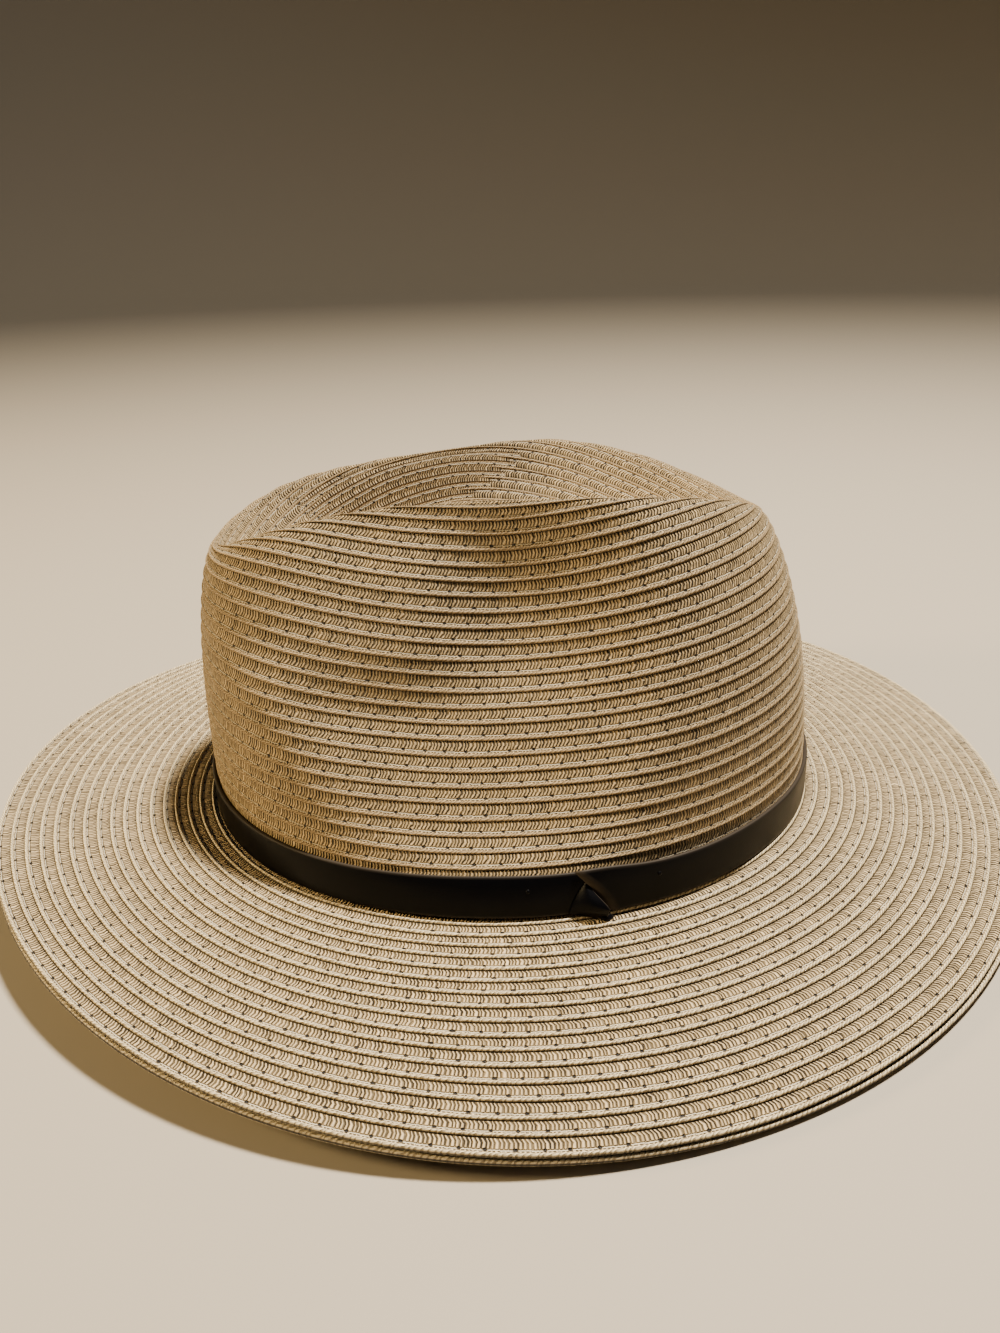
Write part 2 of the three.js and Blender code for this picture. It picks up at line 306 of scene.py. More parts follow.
def braid(place, last, columns, profile):
    """One long strip of braid, course after course in a spiral, as a grid: (points, u, v).

    profile lists (across, height): across is 0 at a course's inner edge and 1 at its cord's outer
    edge, and height is in millimetres. Courses are counted upwards on the crown and outwards on
    the brim, from 0 to last, and each has a number of columns. u is the length along the strip and
    v the place across it. A place of a course n at an angle a is at the share
    (n + 1 - across + phase + (a - seam angle) / 2 pi + drift) / courses up the crown, and at
    (n - 1 + across + phase - (a - seam angle) / 2 pi + drift) / courses out on the brim.
    """
    upwards = place is not brim_points
    across, height = np.array(profile).T
    angles = np.arange(columns) * 2 * np.pi / columns
    turns = np.arange(last + 1)[:, None]
    turned = (turns if upwards else last - turns) + angles / (2 * np.pi)
    # a course's cord has its own drift, and its inner edge that of the course over it
    own = sum(wander(turned + 1, *drift) for drift in DRIFTS)
    over = sum(wander(turned + 2, *drift) for drift in DRIFTS)
    share = across[:, None, None]
    drift = own * share + over * (1 - share)
    swell = 1 + wander(turned + 1, *SWELL)
    ahead = (angles - SEAM_ANGLE) / (2 * np.pi)
    if upwards:
        share = (turns + 1 - share + CROWN_PHASE + ahead + drift) / CROWN_COURSES
    else:
        share = (turns - 1 + share + BRIM_PHASE - ahead + drift) / BRIM_COURSES
    share = np.clip(share, 0.0, LAST_SHARE)
    # the end of the brim's braid is tapered into the turn under it
    taper = 0 if upwards else (turns == last) * (1 - smooth(angles, 0, BRAID_TAPER))
    lift = height[:, None, None] * swell * (1 - taper) - TAPER_SINK * taper
    points = lifted(place, angles, share, lift)
    if not upwards:
        points = points[:, ::-1]
    points = points.reshape(len(across), -1, 3)
    middle = points[len(across) // 2]
    along = np.linalg.norm(np.diff(middle, axis=0), axis=-1).cumsum()
    u = np.broadcast_to(np.concatenate([[0], along]), points.shape[:2])
    v = np.broadcast_to(across[:, None], points.shape[:2])
    return points[::-1], u[::-1], v[::-1]


# height in millimetres of a course's upper face across it, from its tucked inner edge to the
# underside of its cord
PROFILE = (
    (-0.1, -0.5),
    (0.0, -0.3),
    (0.07, -0.08),
    (0.25, 0.06),
    (0.48, 0.1),
    (0.66, 0.05),
    (0.75, 0.02),
    (0.81, 0.45),
    (0.89, 0.72),
    (0.96, 0.55),
    (1.0, 0.05),
    (0.985, -0.4),
)
# the crown's braid was pressed flatter on the block
CROWN_PROFILE = np.array(PROFILE) * (1, 0.5)
# the same for the back of the braid, measured from the sheet's inner face
BACK_PROFILE = (
    (0.0, -0.05),
    (0.12, -0.25),
    (0.5, -0.15),
    (0.8, -0.1),
    (0.92, -0.28),
    (1.0, -0.05),
)


def linear(colour):
    """An sRGB hex colour as linear RGBA."""
    parts = np.array([int(colour[i : i + 2], 16) for i in (1, 3, 5)]) / 255
    parts = np.where(parts <= 0.04045, parts / 12.92, ((parts + 0.055) / 1.055) ** 2.4)
    return (*parts.tolist(), 1.0)


def node(tree, kind, settings=None, inputs=None):
    """Adds a node, sets its settings, and sets or links its inputs."""
    made = tree.nodes.new("ShaderNode" + kind)
    for name, value in (settings or {}).items():
        setattr(made, name, value)
    for key, value in (inputs or {}).items():
        if isinstance(value, bpy.types.NodeSocket):
            tree.links.new(value, made.inputs[key])
        else:
            made.inputs[key].default_value = value
    return made


def maths(tree, operation, *values):
    """The output of a math node."""
    return node(tree, "Math", {"operation": operation}, dict(enumerate(values))).outputs[0]


def ramp(tree, value, start, end):
    """A smooth step of a value, from 0 at start to 1 at end."""
    settings = {"interpolation_type": "SMOOTHSTEP"}
    inputs = {"Value": value, "From Min": start, "From Max": end}
    return node(tree, "MapRange", settings, inputs).outputs["Result"]


def away(tree, value, start, end):
    """A smooth step of a value, from 1 at start down to 0 at end."""
    return maths(tree, "SUBTRACT", 1.0, ramp(tree, value, start, end))


def near(tree, value, middle, reach):
    """1 where a value is at the middle, falling smoothly to 0 at the reach to both sides."""
    off = maths(tree, "ABSOLUTE", maths(tree, "SUBTRACT", value, middle))
    return away(tree, off, reach * 0.4, reach)


def mixed(tree, factor, first, second):
    """Two colours mixed by a factor."""
    made = node(tree, "Mix", {"data_type": "RGBA"}, {"Factor": factor})
    for socket, value in ((made.inputs[6], first), (made.inputs[7], second)):
        if isinstance(value, bpy.types.NodeSocket):
            tree.links.new(value, socket)
        else:
            socket.default_value = value
    return made.outputs[2]


def principled(name):
    """A new material with a Principled BSDF, as (material, tree, shader)."""
    material = bpy.data.materials.new(name)
    material.use_nodes = True
    return material, material.node_tree, material.node_tree.nodes["Principled BSDF"]


def straw_material(name, lean, lean_range, strand_colour, cord_colour):
    """Natural twisted-paper straw: tan and matt, with light and shade partly painted into
    strand_colour and cord_colour.

    The UV map's u is the length along the braid in millimetres and v the place across it. Upright
    strands fill v from 0 to strands_end, then come the stitch holes with the thread, and a twisted
    cord from cord_start to 1. lean is by how many strands they slant over the braid's width, and
    lean_range how much that wanders.
    """
    strand_pitch = 0.93
    stitch_pitch = 5.8
    twist_pitch = 1.35
    course_width = 4.25
    hole_length = 0.42
    hole_width = 0.3
    strands_end = 0.62
    holes_line = 0.64
    thread_line = 0.675
    cord_start = 0.78
    material, tree, shader = principled(name)
    uv = node(tree, "UVMap", {"uv_map": "braid"}).outputs[0]
    parts = node(tree, "SeparateXYZ", None, {0: uv})
    u, v = parts.outputs[0], parts.outputs[1]
    along = {"noise_dimensions": "1D"}
    slow = node(tree, "TexNoise", along, {"W": u, "Scale": 0.05, "Detail": 2.0}).outputs[0]
    quick = node(tree, "TexNoise", along, {"W": u, "Scale": 0.5, "Detail": 2.0}).outputs[0]
    # strands, bent in their middles: each has its own number, width and tone, and wedge-shaped
    # slits part them; the slits widen towards the tucked edge partly as painted shade under the
    # cord
    slant = maths(tree, "MULTIPLY_ADD", maths(tree, "SUBTRACT", slow, 0.5), lean_range, lean)
    strand = maths(tree, "DIVIDE", u, strand_pitch)
    halfway = strands_end / 2
    bend = maths(tree, "PINGPONG", maths(tree, "ADD", v, halfway), halfway)
    bend = maths(tree, "MULTIPLY", bend, 1.3)
    strand = maths(tree, "ADD", bend, maths(tree, "MULTIPLY_ADD", slant, v, strand))
    strand = maths(tree, "MULTIPLY_ADD", quick, 0.9, strand)
    number = maths(tree, "FLOOR", maths(tree, "ADD", strand, 0.5))
    chance = node(tree, "TexWhiteNoise", {"noise_dimensions": "1D"}, {"W": number})
    dice = node(tree, "SeparateColor", None, {0: chance.outputs["Color"]})
    aside = maths(tree, "MULTIPLY", maths(tree, "PINGPONG", strand, 0.5), 2.0)
    # the slits' extra width near the tucked edge is painted shade under the cord above
    wedge = maths(tree, "MULTIPLY", away(tree, v, 0.0, strands_end), 0.3)
    wide = maths(tree, "MULTIPLY_ADD", dice.outputs[0], 0.2, maths(tree, "ADD", wedge, 0.35))
    inner = maths(tree, "SUBTRACT", 1.0, wide)
    ladder = away(tree, v, strands_end - 0.04, strands_end + 0.02)
    ladder = maths(tree, "MULTIPLY", ramp(tree, v, -0.02, 0.03), ladder)
    slit = ramp(tree, aside, inner, maths(tree, "ADD", inner, 0.2))
    slit = maths(tree, "MULTIPLY", slit, ladder)
    slit = maths(tree, "MULTIPLY", slit, maths(tree, "MULTIPLY_ADD", dice.outputs[1], 0.5, 0.5))
    # stitch holes, with the thread straight from hole to hole
    stitch = maths(tree, "DIVIDE", u, stitch_pitch)
    stitch = maths(tree, "MULTIPLY_ADD", slow, 0.8, stitch)
    part = maths(tree, "SUBTRACT", maths(tree, "FRACT", stitch), 0.5)
    sideways = maths(tree, "MULTIPLY", part, stitch_pitch / hole_length)
    upways = maths(tree, "SUBTRACT", v, holes_line)
    upways = maths(tree, "MULTIPLY", upways, course_width / hole_width)
    reach = maths(tree, "SQRT", maths(
        tree, "ADD", maths(tree, "POWER", sideways, 2.0), maths(tree, "POWER", upways, 2.0)
    ))
    hole = away(tree, reach, 0.9, 1.4)
    run = maths(tree, "MULTIPLY_ADD", part, -0.035, thread_line)
    off = maths(tree, "SUBTRACT", v, run)
    thread = near(tree, off, 0.0, 0.03)
    thread = maths(tree, "MULTIPLY", thread, maths(tree, "SUBTRACT", 1.0, hole))
    # painted shade in the crease above the thread, and short dark gaps between the thread and the
    # cord
    crease_shade = near(tree, off, -0.045, 0.03)
    dash = maths(tree, "PINGPONG", maths(tree, "ADD", strand, 0.3), 0.5)
    dash = maths(tree, "MULTIPLY", dash, 2.0)
    dots = maths(tree, "MULTIPLY", ramp(tree, dash, 0.3, 0.6), near(tree, off, 0.065, 0.05))
    # slits, stitch holes and dots are real dark gaps; the crease, the tucked edge and the cord's
    # underside add painted shade in the same dark colour
    gaps_and_shade = maths(tree, "MAXIMUM", maths(tree, "MULTIPLY", slit, 0.95), hole)
    gaps_and_shade = maths(tree, "MAXIMUM", gaps_and_shade, maths(tree, "MULTIPLY", dots, 0.85))
    gaps_and_shade = maths(tree, "MAXIMUM", gaps_and_shade, maths(tree, "MULTIPLY", crease_shade, 0.6))
    # painted shade on the tucked edge under the next course's cord, and on the cord's underside
    under_cord_shade = maths(tree, "MAXIMUM", away(tree, v, 0.0, 0.06), ramp(tree, v, 0.975, 1.0))
    gaps_and_shade = maths(tree, "MAXIMUM", gaps_and_shade, maths(tree, "MULTIPLY", under_cord_shade, 0.95))
    # the cord's twist, with its grooves darkened as painted shade, and the paper's fine fibres
    cord = ramp(tree, v, cord_start - 0.02, cord_start + 0.02)
    twist = maths(tree, "MULTIPLY_ADD", quick, 1.5, maths(tree, "DIVIDE", u, twist_pitch))
    twist = maths(tree, "FRACT", maths(tree, "MULTIPLY_ADD", v, 5.0, twist))
    groove_and_shade = maths(tree, "MULTIPLY", near(tree, twist, 0.5, 0.3), cord)
    fibres = maths(tree, "MULTIPLY", strand, 4.0)
    fibres = node(tree, "CombineXYZ", None, {0: fibres, 1: v}).outputs[0]
    fibre = node(
        tree, "TexNoise", {"noise_dimensions": "2D"},
        {"Vector": fibres, "Scale": 1.5, "Detail": 3.0, "Roughness": 0.6},
    ).outputs[0]
    # colours
    shade = maths(tree, "MULTIPLY_ADD", dice.outputs[2], 0.36, 0.78)
    shade = maths(tree, "MULTIPLY_ADD", slow, 0.25, shade)
    shade = maths(tree, "MULTIPLY_ADD", fibre, 0.35, maths(tree, "SUBTRACT", shade, 0.26))
    body = node(
        tree, "HueSaturation", None, {"Color": linear(strand_colour), "Value": shade}
    ).outputs[0]
    smooth_shade = maths(tree, "MULTIPLY_ADD", slow, 0.3, 0.85)
    pale = node(
        tree, "HueSaturation", None, {"Color": linear(cord_colour), "Value": smooth_shade}
    ).outputs[0]
    body = mixed(tree, cord, body, pale)
    # the twist's grooves are darkened: painted shade
    body = mixed(tree, maths(tree, "MULTIPLY", groove_and_shade, 0.6), body, linear("#66502F"))
    body = mixed(tree, thread, body, linear("#F0E4C6"))
    # the gaps' dark colour, also used as painted shade
    colour = mixed(tree, gaps_and_shade, body, linear("#140C05"))
    tree.links.new(colour, shader.inputs["Base Color"])
    # relief
    round_strand = maths(tree, "SUBTRACT", 1.0, maths(tree, "POWER", aside, 2.0))
    rise = maths(tree, "MULTIPLY", round_strand, ladder)
    rise = maths(tree, "MULTIPLY_ADD", slit, -0.5, rise)
    rise = maths(tree, "MULTIPLY_ADD", groove_and_shade, -0.35, rise)
    rise = maths(tree, "MULTIPLY_ADD", thread, 0.6, rise)
    rise = maths(tree, "MULTIPLY_ADD", hole, -1.2, rise)
    rise = maths(tree, "MULTIPLY_ADD", dots, -0.6, rise)
    rise = maths(tree, "MULTIPLY_ADD", fibre, 0.15, rise)
    bump = node(tree, "Bump", None, {"Strength": 1.0, "Distance": 0.9 * MM, "Height": rise})
    tree.links.new(bump.outputs[0], shader.inputs["Normal"])
    shader.inputs["Roughness"].default_value = 0.58
    shader.inputs["Specular IOR Level"].default_value = 0.4
    return material


# one straw in two copies: the crown's darker colours are painted shade on its wall, and the brim's
# paler colours and pale cords are painted highlight
crown_straw_shaded = straw_material("crown_paper_straw_shaded", 0.9, 2.6, "#BAA074", "#9F8761")
brim_straw_lit = straw_material("brim_paper_straw_lit", -1.0, 3.0, "#C9B086", "#E2CFA6")


def dress(thing, material, slot, *nodes):
    """Gives a piece its material, and lets it stand for CAD nodes. slot is not used."""
    thing.data.materials.append(material)
    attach(thing, "root")
    if nodes:
        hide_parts(*nodes)


# columns in a turn of each strip
CROWN_COLUMNS = 190
CROWN_BACK_COLUMNS = 120
BRIM_COLUMNS = 300
BRIM_BACK_COLUMNS = 150
EDGE_COLUMNS = 400

# Crown ------------------------------------------------------------------------------------------
# The outside of the crown: one spiral of paper-straw braid, sewn course over course from the
# headline to the middle of the dent.
crown_grid = braid(crown_points, CROWN_COURSES - 1, CROWN_COLUMNS, CROWN_PROFILE)
crown_braid = mesh_from_grid("crown_braid", *crown_grid)
dress(crown_braid, crown_straw_shaded, "straw_braid", "crown")

# The inside of the crown: the plainer back of the same courses of paper straw, one braid's
# thickness further in.
crown_back_grid = braid(crown_inside, CROWN_COURSES - 1, CROWN_BACK_COLUMNS, BACK_PROFILE)
crown_back = mesh_from_grid("crown_back", *[part[::-1] for part in crown_back_grid])
dress(crown_back, crown_straw_shaded, "straw_braid")

# Brim -------------------------------------------------------------------------------------------
# The upper side of the brim: the same spiral of paper straw goes on from the headline to the edge,
# sewn course over course.
brim_grid = braid(brim_points, int(BRIM_COURSES), BRIM_COLUMNS, PROFILE)
brim_braid = mesh_from_grid("brim_braid", *brim_grid)
dress(brim_braid, brim_straw_lit, "straw_braid", "brim")

# The underside of the brim: the plainer back of the same courses of paper straw, one braid's
# thickness down.
UNDERSIDE_PROFILE = [(across, height - STRAW) for across, height in BACK_PROFILE]
brim_back_grid = braid(brim_points, int(BRIM_COURSES), BRIM_BACK_COLUMNS, UNDERSIDE_PROFILE)
brim_back = mesh_from_grid("brim_back", *[part[::-1] for part in brim_back_grid])
dress(brim_back, brim_straw_lit, "straw_braid")

# The brim's edge is sewn from two courses, one on the other, so that it keeps its shape. The upper
# one is the spiral's last turn, which comes out from under the course before it. Places round a
# course's section, as in PROFILE, and their waver, as in SWELL:
EDGE_PROFILE = (
    (0.0, -0.6),
    (0.3, 0.0),
    (0.6, 0.05),
    (0.75, 0.06),
    (0.81, 0.4),
    (0.89, 0.58),
    (0.96, 0.4),
    (1.0, -0.1),
    (1.0, -0.7),
    (0.96, -1.2),
    (0.88, -1.4),
    (0.6, -1.35),
    (0.3, -1.3),
    (0.0, -0.6),
)
EDGE_WAVER = (0.07, 0.1, 6)
OVERLAP = 1.35  # how far the lower of two courses lies under the upper one's face
COMES_OUT = 1.4  # the angle where the last turn begins to come out from under the course before it
UNDER_INSET = 0.03  # how far in the under course's edge lies, as a share of a course
edge_angles = np.arange(EDGE_COLUMNS) * 2 * np.pi / EDGE_COLUMNS


def edge_course(name, drop, inset):
    """One turn of braid along the brim's edge, lowered by drop, as a closed strip."""
    across, height = np.array(EDGE_PROFILE).T
    wave = wander(edge_angles / (2 * np.pi) + 1, *EDGE_WAVER)
    wave = wave * np.sin(edge_angles / 2)
    share = 1 - (1 - across[:, None] + inset) / BRIM_COURSES + 0 * wave
    points = lifted(brim_points, edge_angles, share, height[:, None] + wave - drop)
    u = np.broadcast_to(edge_angles * (DOME["side"] + BRIM_WIDTH), share.shape)
    v = np.broadcast_to(across[:, None], share.shape)
    strip = mesh_from_grid(name, points[::-1], u[::-1], v[::-1], closed=True)
    dress(strip, brim_straw_lit, "straw_braid", "brim_edge_course")


under = smooth(edge_angles, 0, BRAID_TAPER) - smooth(edge_angles, COMES_OUT, 2 * np.pi)
edge_course("edge_last_turn", OVERLAP * under, 0.0)
edge_course("edge_under_course", OVERLAP, UNDER_INSET)

# The brim's first course is turned up inside the crown's foot as a collar, where the two are sewn
# together.
COLLAR_HEIGHT = 6
COLLAR_COLUMNS = 200
# each place on the collar's outline: slant height, how far in from the crown's face, and how far
# it is lowered
COLLAR_OUTLINE = (
    (0.0, 0.3, 1.5),
    (0.0, 2.6, 1.7),
    (0.0, 3.4, 1.2),
    (0.3, 3.6, 0.0),
    (COLLAR_HEIGHT - 0.5, 3.5, 0.0),
    (COLLAR_HEIGHT, 2.9, 0.0),
    (COLLAR_HEIGHT - 0.5, 2.2, 0.0),
    (0.0, 2.2, 0.0),
)


def on_crown(angles, slant, out, raised=0.0):
    """Points at slant heights in millimetres up the crown, moved out from its face.

    The last axis of slant and out goes with angles.
    """
    share = slant / crown_slants(angles)[1][-1]
    points = lifted(crown_points, angles, np.maximum(share, 0), out)
    points[..., 2] += np.minimum(slant, 0) + raised
    return points


collar_angles = np.arange(COLLAR_COLUMNS) * 2 * np.pi / COLLAR_COLUMNS
slant, inward, lowered = np.array(COLLAR_OUTLINE).T[..., None] + 0 * collar_angles
collar_points = on_crown(collar_angles, slant, -inward, -lowered)
collar_u = np.broadcast_to(collar_angles * DOME["side"], slant.shape)
collar_v = np.linspace(0.1, 0.98, len(COLLAR_OUTLINE))[:, None] + 0 * slant
brim_collar = mesh_from_grid("brim_collar", collar_points, collar_u, collar_v, closed=True)
dress(brim_collar, brim_straw_lit, "straw_braid")

# Leather ----------------------------------------------------------------------------------------
# Smooth near-black strap leather: satin, with a fine grain, faint blue clouds as a painted sheen,
# and paler cut edges.


def leather_material():
    """The band's leather. The mesh's raw_edge number is 1 where the strap was cut."""
    grain_size = 0.45 * MM
    cloud_size = 9 * MM
    material, tree, shader = principled("black_strap_leather")
    place = node(tree, "TexCoord").outputs["Object"]
    grain = node(tree, "TexVoronoi", None, {"Vector": place, "Scale": 1 / grain_size})
    cloud = node(
        tree, "TexNoise", None, {"Vector": place, "Scale": 1 / cloud_size, "Detail": 3.0}
    ).outputs[0]
    raw = node(tree, "Attribute", {"attribute_name": "raw_edge"}).outputs["Fac"]
    # faint blue clouds in the face colour: a painted bluish sheen
    face = mixed(tree, cloud, linear("#050508"), linear("#030304"))
    colour = mixed(tree, maths(tree, "MULTIPLY", raw, 0.8), face, linear("#3A332B"))
    tree.links.new(colour, shader.inputs["Base Color"])
    rough = maths(tree, "MULTIPLY_ADD", cloud, 0.2, 0.26)
    tree.links.new(maths(tree, "MULTIPLY_ADD", raw, 0.2, rough), shader.inputs["Roughness"])
    bump = node(
        tree, "Bump", None,
        {"Strength": 0.25, "Distance": 0.05 * MM, "Height": grain.outputs["Distance"]},
    )
    tree.links.new(bump.outputs[0], shader.inputs["Normal"])
    shader.inputs["Specular IOR Level"].default_value = 0.08
    return material


leather = leather_material()

# Band: one strap of leather, 11 mm wide, drawn round the foot of the crown. Its free end is cut in
# a curve and lies over the other end on the wearer's left.
KNOT_ANGLE = np.radians(94)
BAND_START = 1
BAND_WIDTH = 11
LEATHER_THICK = 1.2
CLEARANCE = 0.35
UNDER_LAP = 6
LAP_REACH = np.radians(40)  # the upper end lies on the crown from here on
LAP_FALL = np.radians(32)  # and comes down over this much
END_FOOT = 2.9  # the free end's curve: foot - bend slant^2, in millimetres along the band
END_BEND = 0.064
# the free end's upper corner was cut a little wide and curls off the crown: where along the band,
# over what length, and by how much each way
FLARE = {"at": 2, "length": 9, "up": 0.9, "out": 0.4}
STRAP_WAVER = (0.05, 0.12, 8)  # as in SWELL, in turns of four radians
STRAP_COLUMNS = 260
STRAP_PITCH = 2.3  # between the columns
# the strap's section: across its width and through its thickness, both 0 to 1, and whether the
# place is on the cut edge
STRAP_SECTION = (
    (0.0, 0.5, 1),
    (0.004, 0.8, 1),
    (0.03, 0.98, 0.4),
    (0.08, 1.04, 0),
    (0.3, 1.08, 0),
    (0.7, 1.08, 0),
    (0.92, 1.04, 0),
    (0.97, 0.98, 0.4),
    (0.996, 0.8, 1),
    (1.0, 0.5, 1),
    (0.985, 0.05, 1),
    (0.5, 0.0, 0),
    (0.015, 0.05, 1),
    (0.0, 0.5, 1),
)
across, through, raw = np.array(STRAP_SECTION).T
run = np.linspace(0, 1, STRAP_COLUMNS)
strap_rows = []
for place, depth in zip(across, through):
    slant = BAND_START + BAND_WIDTH * place
    first = KNOT_ANGLE + (END_FOOT - END_BEND * slant**2) / DOME["side"]
    final = KNOT_ANGLE + 2 * np.pi + UNDER_LAP / DOME["side"]
    angles = first + (final - first) * run
    lap = 1 - smooth(angles, KNOT_ANGLE + LAP_REACH - LAP_FALL, KNOT_ANGLE + LAP_REACH)
    out = CLEARANCE + lap * (CLEARANCE + LEATHER_THICK) + LEATHER_THICK * depth
    past = ((angles - KNOT_ANGLE) * DOME["side"] - FLARE["at"]) / FLARE["length"]
    flare = np.exp(-past**2) * place**2
    angle_slant = slant + FLARE["up"] * flare + wander(angles / 4, *STRAP_WAVER)
    strap_rows.append(on_crown(angles, angle_slant, out + FLARE["out"] * flare))
strap = np.stack(strap_rows)
first, final = (strap[:, i : i + 1].mean(axis=0, keepdims=True) for i in (0, -1))
first, final = (np.repeat(middle, len(across), 0) for middle in (first, final))
strap = np.concatenate([first, strap, final], axis=1)
strap_raw = np.broadcast_to(raw[:, None], strap.shape[:2]).copy()
strap_raw[:, [0, 1, -2, -1]] = 1
strap_u = np.broadcast_to(np.arange(strap.shape[1]) * STRAP_PITCH, strap.shape[:2])
strap_v = np.broadcast_to(across[:, None], strap.shape[:2])
band_strap = mesh_from_grid("band_strap", strap, strap_u, strap_v, raw=strap_raw)
dress(band_strap, leather, "band_leather", "hatband")

# Knot: the leather strap's tail, tucked round the lap and folded into a small cone that stands off
# the band, with its cut edge towards the free end.
# rows from the cone's tip down to its foot, each with a left, middle and right place: along the
# band towards the back, slant height, and how far out from the crown's face
CONE = (
    ((-3.6, 9.0, 1.9), (-3.3, 9.2, 2.0), (-2.9, 9.0, 2.0)),
    ((-5.0, 7.3, 2.0), (-3.4, 7.3, 3.3), (-1.7, 7.0, 3.3)),
    ((-6.5, 4.8, 2.1), (-3.0, 4.7, 4.7), (1.2, 3.4, 5.3)),
    ((-7.3, 3.0, 2.1), (-2.8, 2.6, 4.6), (1.3, 2.4, 5.4)),
    ((-7.8, 1.4, 1.9), (-2.6, 0.4, 3.2), (0.9, 0.2, 4.4)),
)
CONE_STEPS = 9  # new rows and columns in each of the table's


def refined(table, count, axis):
    """A table's values along an axis at count places, on smooth curves through the old ones."""
    last = table.shape[axis] - 1
    place = np.linspace(0, last, count)
    whole = np.clip(place.astype(int), 0, last - 1)
    part = (place - whole).reshape([-1 if i == axis else 1 for i in range(table.ndim)])
    four = [np.take(table, np.clip(whole + i, 0, last), axis) for i in (-1, 0, 1, 2)]
    return 0.5 * (
        2 * four[1]
        + (four[2] - four[0]) * part
        + (2 * four[0] - 5 * four[1] + 4 * four[2] - four[3]) * part**2
        + (3 * four[1] - four[0] - 3 * four[2] + four[3]) * part**3
    )


def strap_patch(name, table, thickness, *nodes):
    """A closed patch of leather whose face goes through a table of (along, slant, out)."""
    rows, columns = len(table), len(table[0])
    face = refined(np.array(table, float), rows * CONE_STEPS, 0)
    face = refined(face, columns * CONE_STEPS, 1)[::-1]
    inner = face - np.array([0, 0, thickness])
    # the left and right rims are rolled over, and the first and last rows close the patch
    loop = np.concatenate([face, face[:, -1:] - [0, 0, thickness / 2], inner[:, ::-1]], axis=1)
    loop = np.concatenate([loop, face[:, :1] - [0, 0, thickness / 2], face[:, :1]], axis=1)
    tip, foot = (loop[i : i + 1].mean(axis=1, keepdims=True) for i in (0, -1))
    tip, foot = (np.repeat(middle, loop.shape[1], 1) for middle in (tip, foot))
    loop = np.concatenate([tip, loop, foot], axis=0)
    points = np.stack([
        on_crown(KNOT_ANGLE + along / DOME["side"], slant, out)
        for along, slant, out in np.moveaxis(loop, 2, 1)
    ])
    cut = np.zeros(loop.shape[:2])
    cut[:, face.shape[1] - 1 : face.shape[1] + 2] = 1
    cut[[0, 1, -2, -1]] = 1
    u = np.broadcast_to(np.arange(loop.shape[1]), loop.shape[:2])
    v = np.broadcast_to(np.arange(loop.shape[0])[:, None], loop.shape[:2])
    patch = mesh_from_grid(name, points, u, v, raw=cut)
    dress(patch, leather, "band_leather", *nodes)


CONE_THICK = 1.0
strap_patch("knot_cone", CONE, CONE_THICK, "band_knot")

# Tail: the end of the leather strap, crumpled where it comes out under the band beside the cone.
# rows as in CONE, from the upper one down
CRUMPLE_THICK = 0.9
CRUMPLE = (
    ((-0.6, 1.2, 3.6), (0.8, 1.0, 4.4), (2.2, 0.8, 3.4)),
    ((-0.5, 0.2, 4.2), (1.2, 0.0, 4.9), (3.0, -0.3, 3.6)),
    ((-0.4, -0.8, 3.6), (1.6, -1.0, 4.2), (3.8, -1.1, 3.2)),
)
strap_patch("knot_tail", CRUMPLE, CRUMPLE_THICK)

# Tacks: two small black heads in the leather, one to each side of the knot, that hold the lap and
# the tail. Each is a low cap, pressed into the band's face.
TACK_RADIUS = 0.55
TACK_OUT = 0.25
tack_turn = np.linspace(0, 2 * np.pi, 17)[:-1]
tack_lean = np.linspace(0, np.pi / 2, 6)[:, None]
for name, angle, height, depth in (
    ("tack_back", 103.5, 8.6, 2.9 + CLEARANCE),
    ("tack_front", 83.2, 8.0, 1.25 + CLEARANCE),
):
    ring = TACK_RADIUS * np.cos(tack_lean)
    along = ring * np.cos(tack_turn)
    slant = height + ring * np.sin(tack_turn)
    out = depth + TACK_OUT * np.sin(tack_lean) + 0 * tack_turn
    angles = np.radians(angle) + along / DOME["side"]
    tack = np.stack([on_crown(*row) for row in zip(angles, slant, out)])
    grid = np.broadcast_to(tack_turn, along.shape)
    head = mesh_from_grid(name, tack, grid, grid, closed=True)
    dress(head, leather, "band_leather")

# Stage ------------------------------------------------------------------------------------------
# A plain pale floor that curves up into a wall all round, under a small near-white light from above
# and a little behind, with a weak warm light from the front. Sizes here are in metres.
BOWL_MIDDLE = 0.5
BOWL_FLAT = 2.2
BOWL_BEND = 1.0
BOWL_TOP = 1.7
bend = np.linspace(0, np.pi / 2, 12)
bowl_radius = BOWL_FLAT + BOWL_BEND * np.sin(bend)
bowl_radius = np.concatenate([[0.0, BOWL_MIDDLE], bowl_radius, [BOWL_FLAT + BOWL_BEND]])
bowl_height = BOWL_BEND * (1 - np.cos(bend))
bowl_height = np.concatenate([[0.0, 0.0], bowl_height, [BOWL_TOP]])
bowl_turn = np.linspace(0, 2 * np.pi, 97)[:-1]
bowl = np.stack([
    bowl_radius[:, None] * np.cos(bowl_turn),
    bowl_radius[:, None] * np.sin(bowl_turn),
    bowl_height[:, None] + 0 * bowl_turn,
], axis=-1)[::-1] / MM
grid = np.broadcast_to(bowl_turn, bowl.shape[:2])
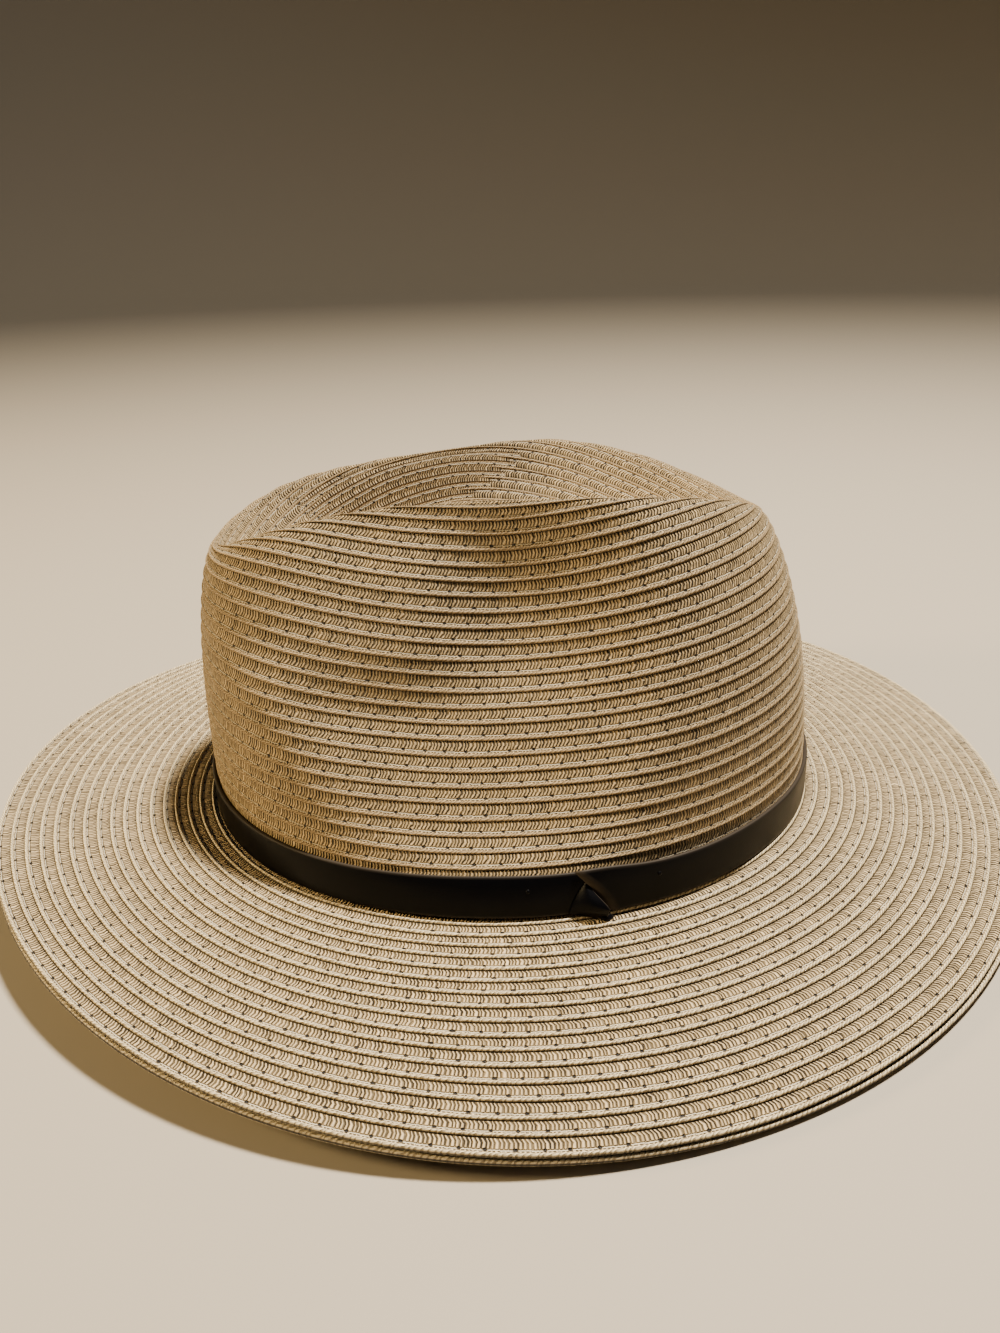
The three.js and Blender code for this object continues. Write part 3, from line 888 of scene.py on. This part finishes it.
floor = mesh_from_grid("floor", bowl, grid, grid, closed=True)
floor_material, _, floor_shader = principled("pale_floor")
floor_shader.inputs["Base Color"].default_value = linear("#9E9483")
floor_shader.inputs["Roughness"].default_value = 0.7
floor.data.materials.append(floor_material)

world = bpy.data.worlds.new("studio")
bpy.context.scene.world = world
world.use_nodes = True
world.node_tree.nodes["Background"].inputs["Color"].default_value = linear("#D3DAE6")
world.node_tree.nodes["Background"].inputs["Strength"].default_value = 0.08


def area_light(name, location, aim, size, power, colour):
    """A square area light at location that faces aim."""
    data = bpy.data.lights.new(name, "AREA")
    data.size = size
    data.energy = power
    data.color = linear(colour)[:3]
    thing = bpy.data.objects.new(name, data)
    thing.location = location
    direction = Vector(aim) - Vector(location)
    thing.rotation_euler = direction.to_track_quat("-Z", "Y").to_euler()
    bpy.context.scene.collection.objects.link(thing)


area_light("key", (-0.09, 0.3, 1.3), (0, 0, 0.03), 0.14, 68, "#FFF5E6")
area_light("warm_front", (-0.1, -1.2, 0.55), (0, 0, 0.05), 0.25, 21, "#FFE0A4")

# Camera -----------------------------------------------------------------------------------------
# It looks at the wearer's left side, a little from the front and from above.
CAMERA_PLACE = (0.2951, -0.0474, 0.1774)
azimuth, pitch, roll = np.radians([81.36, 24.29, -1.78])
right = Vector((np.cos(azimuth), np.sin(azimuth), 0))
ahead = Vector((
    -np.sin(azimuth) * np.cos(pitch), np.cos(azimuth) * np.cos(pitch), -np.sin(pitch)
))
up = right.cross(ahead)
camera_right = right * np.cos(roll) + up * np.sin(roll)
camera_up = up * np.cos(roll) - right * np.sin(roll)
camera_data = bpy.data.cameras.new("camera")
camera_data.sensor_fit = "VERTICAL"
camera_data.sensor_height = 36
camera_data.lens = 27
camera_data.clip_start = 0.01
camera = bpy.data.objects.new("camera", camera_data)
turn = Matrix((camera_right, camera_up, -ahead)).transposed()
camera.matrix_world = Matrix.Translation(CAMERA_PLACE) @ turn.to_4x4()
bpy.context.scene.collection.objects.link(camera)
bpy.context.scene.camera = camera
